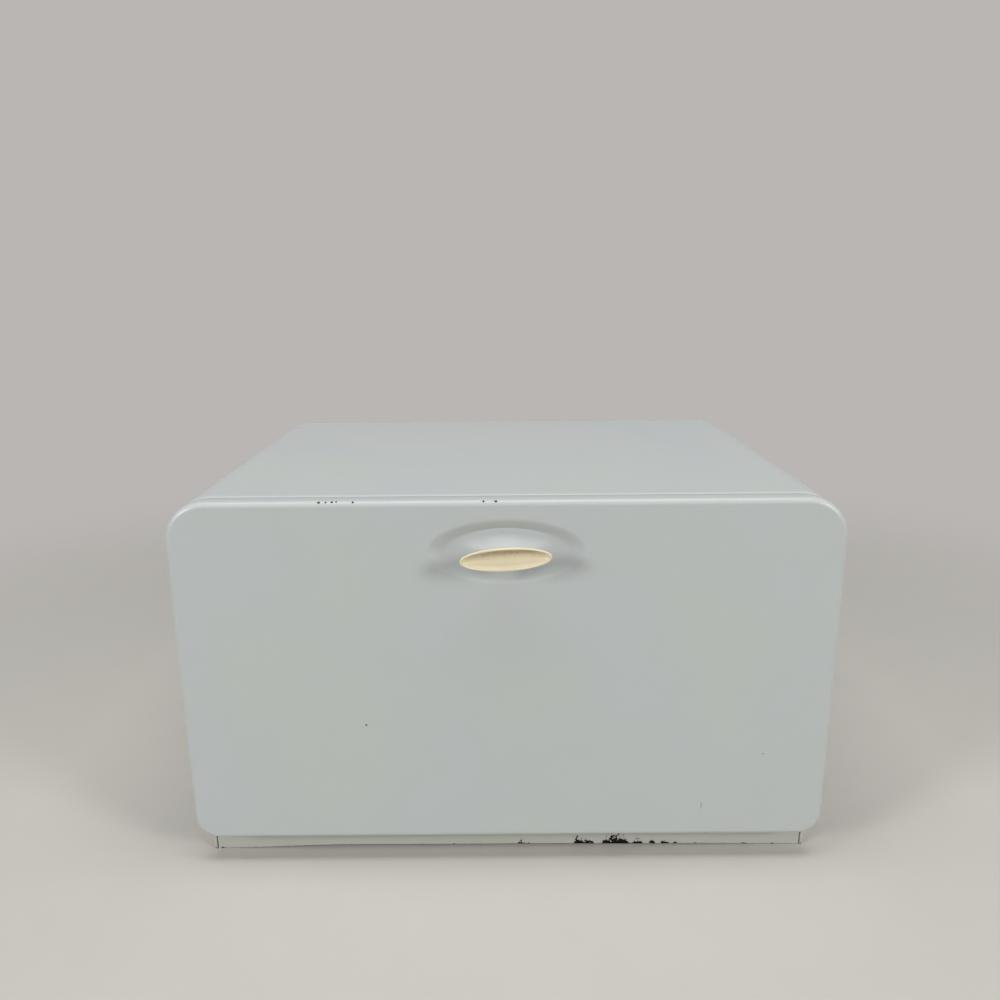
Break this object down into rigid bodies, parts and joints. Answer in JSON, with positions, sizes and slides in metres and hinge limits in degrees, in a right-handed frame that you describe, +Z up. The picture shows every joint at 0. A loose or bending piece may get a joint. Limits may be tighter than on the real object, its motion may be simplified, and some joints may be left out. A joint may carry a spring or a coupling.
{
  "type": "bread box with drawer",
  "caption": "Enamelled steel bread box with a pull-out drawer: rounded body on a set-back plinth, pressed front with an oval finger recess and a cream handle.",
  "frame": {"origin": "on the table, in the middle of the footprint of the box and its handle", "axes": "+X to the right as seen from the front, +Y to the back, +Z up; the drawer slides out along -Y"},
  "size_m": [0.3616, 0.269, 0.217],
  "materials": {
    "enamel": "stoved grey-green enamel, satin gloss",
    "painted_rivets": "rivet heads under the same enamel",
    "zinc_steel": "zinc plated",
    "cream_plastic": "moulded, aged cream",
    "black_rubber": "moulded",
    "brass": "turned"
  },
  "bodies": {
    "case": {"case_shell": "enamel", "back_panel": "enamel", "plinth": "enamel", "plinth_rivets": "zinc_steel", "runner_left": "zinc_steel", "runner_right": "zinc_steel", "runner_rivets": "painted_rivets", "stop_screws": "zinc_steel", "rear_buffers": "black_rubber"},
    "drawer": {"drawer_front": "enamel", "front_liner": "enamel", "drawer_tray": "enamel", "rim_wire": "zinc_steel", "slide_left": "zinc_steel", "slide_right": "zinc_steel", "slide_rivets": "zinc_steel", "tray_rivets": "zinc_steel", "front_screws": "zinc_steel", "front_nuts": "zinc_steel", "handle": "cream_plastic", "handle_insert": "brass", "handle_screw": "zinc_steel", "handle_washer": "zinc_steel"}
  },
  "joints": [
    {"name": "drawer_slide", "type": "slide", "parent": "case", "child": "drawer", "axis": [0, -1, 0], "range_m": [0, 0.17]}
  ]
}
